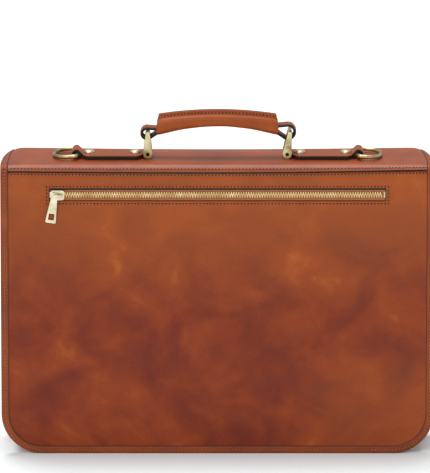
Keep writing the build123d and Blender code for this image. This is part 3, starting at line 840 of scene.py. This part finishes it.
def gusset_wall():
    """Soft U-shaped wall: it folds inwards between each panel and the divider, most at the top."""
    path = outline_path(HALF, GUSSET_TOP, 0.0, CORNER, GUSSET_IN, 6 * MM)
    rear, fore = REAR + LEATHER, BODY_FRONT - LEATHER
    flange = [0.0, 0.35, 0.7]
    vs = [-1 + f for f in flange] + span(0.0, 1.0, 0.04) + [2 - f for f in reversed(flange)]

    def place(u, v):
        index = min(int(u), len(path) - 2)
        here, there = path[index], path[index + 1]
        x, z, a, b = [start + (end - start) * (u - index) for start, end in zip(here, there)]
        out = Vector((a, 0, b)).normalized()
        base = Vector((x, 0, z))
        if v < 0:
            return base - out * (v * (GUSSET_IN - WALL)) + FORWARD * rear, BACKWARD
        if v > 1:
            return base + out * ((v - 1) * (GUSSET_IN - WALL)) + FORWARD * fore, FORWARD
        fold = (0.5 - 0.5 * math.cos(math.tau * 2 * v)) * smooth(z, 20 * MM, 230 * MM)
        crease = ripple(v * 0.3, z, 0.8 * MM, 5.0) * math.sin(math.pi * v)
        return base - out * (9 * MM * fold + crease) + FORWARD * (rear + (fore - rear) * v), out

    us = [float(n) for n in range(len(path))]
    piece = sheet("gusset_leather", us, vs, place, THIN, tone_and_painted_light=lambda u, v: 0.15)
    regrain(piece, lambda point, old: (old[0] * 6 * MM, old[1] * (fore - rear), 2.0))
    finished(piece, "leather", "gusset", body="case")


gusset_wall()
panel("front_panel_leather", "front_panel", BODY_FRONT, PANEL_HALF, WALL, CORNER - WALL, BODY_TOP,
      6.0, 0.2 * MM)

divider_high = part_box("divider")[1]
board_low, board_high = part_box("bottom_board")
INNER = HALF - GUSSET_IN - THIN


def divider_place(u, v):
    """Point of the divider, which bows forward a little, and its outward direction."""
    reach = width_at(v, INNER, GUSSET_IN + THIN, CORNER - GUSSET_IN - THIN)
    bow = 1.2 * MM * math.sin(math.pi * u) * smooth(v, 40 * MM, 230 * MM)
    return Vector((u * reach, divider_high.y + bow, v)), FORWARD


divider = sheet("divider_leather", span(-1.0, 1.0, 0.04), span(board_high.z, divider_high.z, 8 * MM),
                divider_place, THIN)
scale_grain(divider)
finished(divider, "leather", "divider", body="case")


def board_place(u, v):
    """Point of the bottom board, slightly uneven, and its outward direction."""
    return Vector((u, v, board_high.z - abs(ripple(u, v, 0.3 * MM, 8.0)))), UP


board = sheet("bottom_board_leather", span(board_low.x, board_high.x, 12 * MM),
              span(board_low.y, board_high.y, 10 * MM), board_place, 1.6 * MM, [FLESH, EDGE, FLESH])
finished(board, "board", "bottom_board", body="case")

pocket_low, pocket_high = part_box("front_pocket_panel")
POCKET_CORNER = 25 * MM
POCKET = (pocket_high.x, pocket_high.z, pocket_low.z, POCKET_CORNER)
panel("front_pocket_leather", "front_pocket_panel", pocket_high.y, pocket_high.x, pocket_low.z,
      POCKET_CORNER, pocket_high.z, 9.0, 0.3 * MM)


def pocket_wall():
    """The pocket's own narrow gusset."""
    path = outline_path(*POCKET, 0.0, 6 * MM)

    def place(u, v):
        x, z, a, b = path[int(u)]
        out = Vector((a, 0, b))
        y = BODY_FRONT + (pocket_low.y - BODY_FRONT) * v
        return Vector((x, y, z)) - out * (math.sin(math.pi * v) * 2.5 * MM), out

    us = [float(n) for n in range(len(path))]
    piece = sheet("front_pocket_wall", us, span(0.0, 1.0, 0.125), place, THIN)
    regrain(piece, lambda point, old: (old[0] * 6 * MM, old[1] * 10 * MM, 3.0))
    finished(piece, "leather", "front_pocket_gusset", body="case")


pocket_wall()
pocket_face = pocket_high.y + 0.05 * MM
pocket_seam = [(Vector((x - a * 3 * MM, pocket_face, z - b * 3 * MM)), FORWARD)
               for x, z, a, b in outline_path(*POCKET)]
seam_end, seam_top = pocket_high.x - 4 * MM, pocket_high.z - 4 * MM
pocket_top = line(Vector((-seam_end, pocket_face, seam_top)),
                  Vector((seam_end, pocket_face, seam_top)), FORWARD)
finished(stitches("pocket_sewing", [pocket_seam, pocket_top]), "leather", body="case")

# ===== Zip: tapes, teeth, pocket lining =====

for label in ("upper", "lower"):
    low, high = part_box(f"zip_tape_{label}")

    def tape_place(u, v):
        rise = 1.1 * MM * smooth(abs(v - ZIP_Z), 2.6 * MM, 4.0 * MM)
        return Vector((u, low.y - rise, v)), BACKWARD

    tape = sheet(f"zip_tape_{label}_cloth", span(low.x, high.x, 12 * MM), span(low.z, high.z, 0.7 * MM),
                 tape_place, 0.7 * MM, [TAPE] * 3)
    finished(tape, "zip_tape", f"zip_tape_{label}", body="case")

TOOTH_PITCH = 2.4 * MM
TOOTH_RINGS = ((2.95, 0.45, 0.35), (2.6, 0.55, 0.0), (0.6, 0.55, 0.0), (-0.2, 0.40, 0.1),
               (-0.75, 0.28, 0.4))


def teeth(label, side, shift):
    """One row of metal teeth clamped on a tape, each a rounded block with a nose at the middle line.

    TOOTH_RINGS gives each ring's distance from the middle line, its half width and its dip, in mm.
    """
    low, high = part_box(f"zip_teeth_{label}")
    points, faces = [], []
    for n in range(int((high.x - low.x) / TOOTH_PITCH)):
        x = low.x + (n + shift) * TOOTH_PITCH
        faces += tube(len(points), 4, len(TOOTH_RINGS))
        for out, half, dip in TOOTH_RINGS:
            left, right, front = x - half * MM, x + half * MM, low.y + dip * MM
            for place, y in ((left, front), (right, front), (right, high.y), (left, high.y)):
                points.append(Vector((place, y, ZIP_Z + side * out * MM)))
    piece = new_object(f"zip_teeth_{label}_metal", points, faces, [ZIP_BRASS], [0] * len(faces), points)
    finished(piece, "antique_brass", f"zip_teeth_{label}", body="case")


teeth("upper", 1, 0.5)
teeth("lower", -1, 1.0)

lining_low, lining_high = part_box("zip_pocket_lining")


def lining_place(u, v):
    """Point of the pocket's lining, which bags forward inside its seams, and its outward direction."""
    edge = min(u - lining_low.x, lining_high.x - u, v - lining_low.z, lining_high.z - v)
    hang = smooth(edge, 0.0, 9 * MM)
    bag = (3.2 * MM + ripple(u, v, 0.8 * MM, 12.0)) * hang
    return Vector((u, REAR + LEATHER + 0.5 * MM + bag, v)), BACKWARD


lining = sheet("zip_pocket_cotton", span(lining_low.x, lining_high.x, 8 * MM),
               span(lining_low.z, lining_high.z, 8 * MM), lining_place, 0.5 * MM, [LINING] * 3)
finished(lining, "lining", "zip_pocket_lining", body="case")

# ===== Straps: a flat band of leather along a path, its edges painted =====


def strap_section(width, thickness):
    """Section across a strap: crowned faces, rounded painted edges. Normal distance 0 is its face."""
    rim, turn = width / 2 - 0.15 * thickness, width / 2 - 0.5 * thickness
    right = [(width / 4, 0.04 * thickness), (turn, 0.0), (rim, -0.12 * thickness),
             (width / 2, -0.5 * thickness), (rim, -0.88 * thickness), (turn, -thickness)]
    left = [(-x, height) for x, height in reversed(right)]
    return left[2:] + [(0.0, 0.06 * thickness)] + right + [(0.0, -thickness)] + left[:2]


STRAP_SLOTS = [1, 1, 0, 0, 0, 0, 1, 1, 1, 1, 0, 0, 1, 1]


def strap(name, path, side, width, thickness, seed, widths=None, tone_and_painted_light=0.3, closed=False, edge=EDGE):
    """A strap along path, a list of (point, face direction); side is the direction across it."""
    stations = []
    for n, (point, out) in enumerate(path):
        scale = widths[n] / width if widths else 1.0
        stations.append((point, side * scale, out))
    return loft(name, stations, strap_section(width, thickness), [STRIP_SKIN, edge], STRAP_SLOTS,
                closed=closed, tone_and_painted_light=tone_and_painted_light, seed=seed)


def pointed_width(away, width):
    """Width of a strap this far from its rounded tip."""
    reach = min(away / (10 * MM), 1.0)
    return max(width * math.sqrt(1 - (1 - reach) ** 2) ** 0.8, 0.12 * width)


def upright_strap(node, body, seed, point_up=True):
    """A strap that lies upright on the front in the place of its CAD node, with one rounded tip."""
    low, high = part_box(node)
    width, middle = high.x - low.x, (low.x + high.x) / 2
    tip, inward = (high.z + 0.1 * MM, -1) if point_up else (low.z - 0.1 * MM, 1)
    heights = [z for z in span(low.z, high.z, 3 * MM) if abs(z - tip) > 10.5 * MM]
    heights = sorted(heights + [tip + inward * 10 * MM * (n / 8) ** 1.6 for n in range(9)])
    widths = [pointed_width(abs(z - tip), width) for z in heights]
    path = [(Vector((middle, high.y, z)), FORWARD) for z in heights]
    piece = strap(f"{node}_leather", path, ACROSS, width, high.y - low.y, seed, widths)
    rows = []
    for side in (-1, 1):
        x = middle + side * (width / 2 - 2.8 * MM)
        rows.append([(Vector((x, high.y + 0.1 * MM, z)), FORWARD)
                     for z in (low.z + 2 * MM, high.z - 9 * MM)])
    finished(piece, "leather", node, body=body)
    finished(stitches(f"{node}_leather_sewing", rows), "leather", body=body)


def keeper(node, seed):
    """The leather ring that holds a strap's end, rounded at its corners."""
    low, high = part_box(node)
    centre, half = (low + high) / 2, (high - low) / 2
    path = []
    for n in range(24):
        turn = math.tau * n / 24
        c, s = math.cos(turn), math.sin(turn)
        reach = Vector((math.copysign(abs(c) ** 0.25, c) * half.x,
                        math.copysign(abs(s) ** 0.45, s) * half.y, 0))
        path.append((centre + reach, Vector((c * 0.5, s, 0)).normalized()))
    piece = strap(f"{node}_leather", path, UP, high.z - low.z, 1.2 * MM, seed, closed=True)
    finished(piece, "leather", node, body="flap_front")


for name, side in SIDES:
    upright_strap(f"flap_strap_{name}", "flap_front", side + 7)
    upright_strap(f"strap_tip_{name}", "flap_front", side + 9)
    upright_strap(f"tongue_{name}", f"tongue_{name}", side + 11, point_up=False)
    keeper(f"keeper_{name}", side + 15)

# --- Carrier tabs ---


def bent_round(side, x, z, radius, start, sweep, count):
    """(point, outward direction) of a strap bent round a bar that runs front to back."""
    path = []
    for n in range(count + 1):
        turn = math.radians(start + sweep * n / count)
        out = Vector((side * math.cos(turn), 0, math.sin(turn)))
        path.append((Vector((side * x, HANDLE_Y, z)) + out * radius, out))
    return path


def tab_width(x):
    """Width of a carrier tab: narrow at the stirrup, full in the middle, narrowest at the ring."""
    inner = smooth(x, PIN_X + 4 * MM, PIN_X + 10 * MM)
    outer = smooth(x, RING_X - 10 * MM, RING_X - 5 * MM)
    return 15 * MM + 15 * MM * inner - 10 * MM * outer


def carrier_tab(name, side):
    """Strap folded over the ring's bar and round the stirrup's pin, with its lower layer."""
    flat = [(Vector((side * x, HANDLE_Y, TOP + 4.0 * MM)), UP)
            for x in reversed(span(PIN_X + 6 * MM, RING_X - 7 * MM, 3 * MM))]
    path = (bent_round(side, RING_X, RING_Z + 0.6 * MM, 4.6 * MM, -80, 190, 12) + flat
            + bent_round(side, PIN_X, PIN_Z, 3.6 * MM, 100, 150, 10))
    widths = [tab_width(abs(point.x)) for point, _ in path]
    # The tabs get the full tone lift: painted light, the pink sheen on their tops.
    upper = strap(f"carrier_tab_{name}_top", path, FORWARD, 30 * MM, 2.2 * MM, side + 20, widths, 1.0)
    finished(upper, "leather", f"carrier_tab_{name}", body="flap_top")
    base = [(Vector((side * x, HANDLE_Y, TOP + 1.7 * MM)), UP)
            for x in span(PIN_X + 1 * MM, RING_X - 1 * MM, 3.5 * MM)]
    widths = [tab_width(abs(point.x)) - 3 * MM for point, _ in base]
    under = strap(f"carrier_tab_{name}_base", base, FORWARD, 30 * MM, 1.7 * MM, side + 23, widths, 1.0,
                  edge=BROWN_EDGE)
    finished(under, "leather", body="flap_top")


for name, side in SIDES:
    carrier_tab(name, side)

# ===== Handle =====

grip_low, grip_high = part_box("handle_grip")
GRIP = grip_high.x
GRIP_HALF_WIDTH = grip_high.y - HANDLE_Y
FIN = 4.1 * MM
CROWN_DROP = 4.4 * MM
ARCH_HEIGHT = 9.2 * MM


def arch(share, middle, drop):
    """Height of a shallow arc at this share of the half length, given its middle and its drop."""
    return middle - drop * share * share


def grip_end(height):
    """How far the grip's ends lean in at this share of their height: most at the top."""
    return 2.6 * MM * smooth(height, 0.25, 1.0) + 0.8 * MM * (1 - smooth(height, 0.0, 0.3))


def grip():
    """The handle's padded leather tube, arched and slightly pinched at its ends."""
    shares = span(-1.0, 1.0, 0.04)
    around = 40
    points, grain = [], []
    for share in shares:
        top = arch(share, grip_high.z - FIN, CROWN_DROP)
        bottom = arch(share, grip_low.z + ARCH_HEIGHT, ARCH_HEIGHT)
        middle, rise = (top + bottom) / 2, (top - bottom) / 2
        pinch = 1 - 0.07 * smooth(abs(share), 0.93, 1.0)
        for k in range(around):
            turn = math.tau * k / around
            c, s = math.cos(turn), math.sin(turn)
            y = GRIP_HALF_WIDTH * math.copysign(abs(c) ** 0.72, c) * pinch
            z = rise * math.copysign(abs(s) ** 0.8, s) * pinch
            x = share * (GRIP - grip_end((s + 1) / 2 * 0.8))
            soft = 0.25 * MM * noise.noise(Vector((x * 60, turn * 1.5, 4.0)))
            points.append(Vector((x, HANDLE_Y + y + c * soft, middle + z + s * soft)))
            grain.append((x, turn * 9 * MM, 5.0))
    faces = tube(0, around, len(shares))
    slots = [0] * (len(faces) - 2) + [1, 1]
    piece = new_object("handle_grip_leather", points, faces, [LEATHER_SKIN, EDGE], slots, grain, 0.8)
    return finished(piece, "leather", "handle_grip", body="handle")


def grip_fin():
    """The two layers of the cover sewn together above the tube, their cut edge painted."""
    reach = GRIP - grip_end(1.0)
    path = [Vector((share * reach, HANDLE_Y, arch(share, grip_high.z, CROWN_DROP)))
            for share in span(-1.0, 1.0, 0.04)]
    half = 1.8 * MM
    right = [(half * 0.7, -0.1 * MM), (half, -0.5 * MM), (half * 1.05, -FIN + 0.8 * MM),
             (half * 1.5, -FIN - 0.6 * MM), (half, -FIN - 3 * MM)]
    section = [(-x, height) for x, height in reversed(right)] + [(0, 0)] + right
    stations = [(point, FORWARD, UP) for point in path]
    for index, side in ((0, -1), (-1, 1)):
        stations[index] = (path[index], FORWARD, UP - ACROSS * side * 0.24)
    fin = loft("handle_fin_leather", stations, section, [LEATHER_SKIN, BROWN_EDGE],
               [0, 0, 0, 0, 1, 1, 0, 0, 0, 0, 0], tone_and_painted_light=0.8, seed=31.0)
    finished(fin, "leather", body="handle")
    rows = []
    for side in (-1, 1):
        rows.append([(point + FORWARD * side * half - UP * 2.9 * MM, FORWARD * side)
                     for point in path[1:-1]])
    finished(stitches("handle_sewing", rows), "leather", body="handle")


grip()
grip_fin()


def handle_loop(name, side, slack):
    """The strap that comes out of the grip, goes round the stirrup's bar and back into the grip."""
    low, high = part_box(f"handle_loop_{name}")
    radius = (high.z - low.z) / 2 - slack
    centre = Vector((side * (max(abs(low.x), abs(high.x)) - radius - slack), HANDLE_Y,
                     (low.z + high.z) / 2 - slack))
    inside = side * (GRIP - 2 * MM)
    start = Vector((inside, HANDLE_Y, centre.z + radius - 1.0 * MM))
    end = Vector((inside, HANDLE_Y, centre.z - radius + 6.0 * MM))
    bend = [point for point, _ in bent_round(side, abs(centre.x), centre.z, radius, 95, -210, 20)]
    run = [start.lerp(bend[0], n / 4) for n in range(4)] + bend
    run += [bend[-1].lerp(end, n / 4) for n in range(1, 5)]
    path = []
    for n, point in enumerate(run):
        along = run[min(n + 1, len(run) - 1)] - run[max(n - 1, 0)]
        out = Vector((along.z, 0, -along.x)).normalized()
        path.append((point, out if out.dot(point - centre) >= 0 else -out))
    loop = strap(f"handle_loop_{name}_leather", path, FORWARD, high.y - low.y, 2.6 * MM, side + 40,
                 tone_and_painted_light=0.6)
    finished(loop, "leather", f"handle_loop_{name}", body="handle")


handle_loop("left", -1, 1.5 * MM)
handle_loop("right", 1, 0.0)

# ===== Metal: the CAD pieces keep their shape and get softened edges and aged brass, the stirrup pins near-black painted shade =====

METAL = ["zip_slider", "zip_pull", "zip_stops", "snap_studs"]
for part in ("d_ring", "stirrup", "stirrup_pin", "tab_rivets", "buckle", "buckle_prong", "snap_cap"):
    METAL += [f"{part}_left", f"{part}_right"]


def coat(piece, material):
    """Gives a CAD piece one material."""
    piece.data.materials.clear()
    piece.data.materials.append(material)


for node in METAL:
    piece = nodes[node]
    # The stirrup pins get near-black painted shade for their holes.
    if node.startswith("stirrup_pin"):
        coat(piece, PIN_SHADE_BRASS)
    elif node.startswith(("zip", "tab_rivets")):
        coat(piece, PALE_BRASS)
    else:
        coat(piece, BRASS)
    if not node.startswith("d_ring"):
        soften = piece.modifiers.new("soft_edges", "BEVEL")
        soften.width = (0.9 if node in ("stirrup_left", "stirrup_right") else 0.35) * MM
        soften.segments = 3
        soften.limit_method = "ANGLE"
        soften.angle_limit = math.radians(35)
        soften.harden_normals = False
coat(nodes["handle_core"], FLESH)

# ===== Floor, light and camera =====


def stage_material():
    """Matt, nearly white floor."""
    make = Nodes("studio_floor")
    place = make.add("ShaderNodeTexCoord").outputs["Object"]
    colour = make.ramp(make.noise(place, 2.0), (0.3, (244, 250, 251)), (0.7, (247, 254, 255)))
    return make.finish(colour, 0.9, None, Specular_IOR_Level=0.1)


def sun(name, travel, power, spread):
    """Broad parallel light that travels in the given direction."""
    lamp = bpy.data.lights.new(name, "SUN")
    lamp.energy = power
    lamp.angle = math.radians(spread)
    holder = bpy.data.objects.new(name, lamp)
    bpy.context.collection.objects.link(holder)
    holder.rotation_euler = Vector(travel).to_track_quat("-Z", "Y").to_euler()


def studio():
    """White floor and world, a strong soft sun from above and a weaker one from the zip side."""
    bpy.ops.mesh.primitive_plane_add(size=30, location=(0, 0, 0))
    floor = bpy.context.object
    floor.name = "studio_floor"
    floor.data.materials.append(stage_material())
    world = bpy.data.worlds.new("studio")
    bpy.context.scene.world = world
    world.use_nodes = True
    background = world.node_tree.nodes["Background"]
    background.inputs["Color"].default_value = (1.0, 1.0, 1.0, 1.0)
    background.inputs["Strength"].default_value = 0.56
    sun("overhead", (0.08, -0.20, -1.0), 1.9, 24)
    sun("front_fill", (0.45, 1.0, -0.75), 0.85, 30)
    bpy.context.scene.view_settings.view_transform = "Standard"


def camera():
    """Long lens, fifteen degrees above the zip side."""
    distance, elevation = 9.0, math.radians(15)
    aim = Vector((-2.4 * MM, REAR, 218.4 * MM))
    data = bpy.data.cameras.new("camera")
    data.lens = 708
    data.sensor_width = 36
    data.clip_end = 60
    eye = bpy.data.objects.new("camera", data)
    bpy.context.collection.objects.link(eye)
    eye.location = aim + Vector((0, -math.cos(elevation), math.sin(elevation))) * distance
    eye.rotation_euler = (aim - eye.location).to_track_quat("-Z", "Y").to_euler()
    bpy.context.scene.camera = eye


studio()
camera()
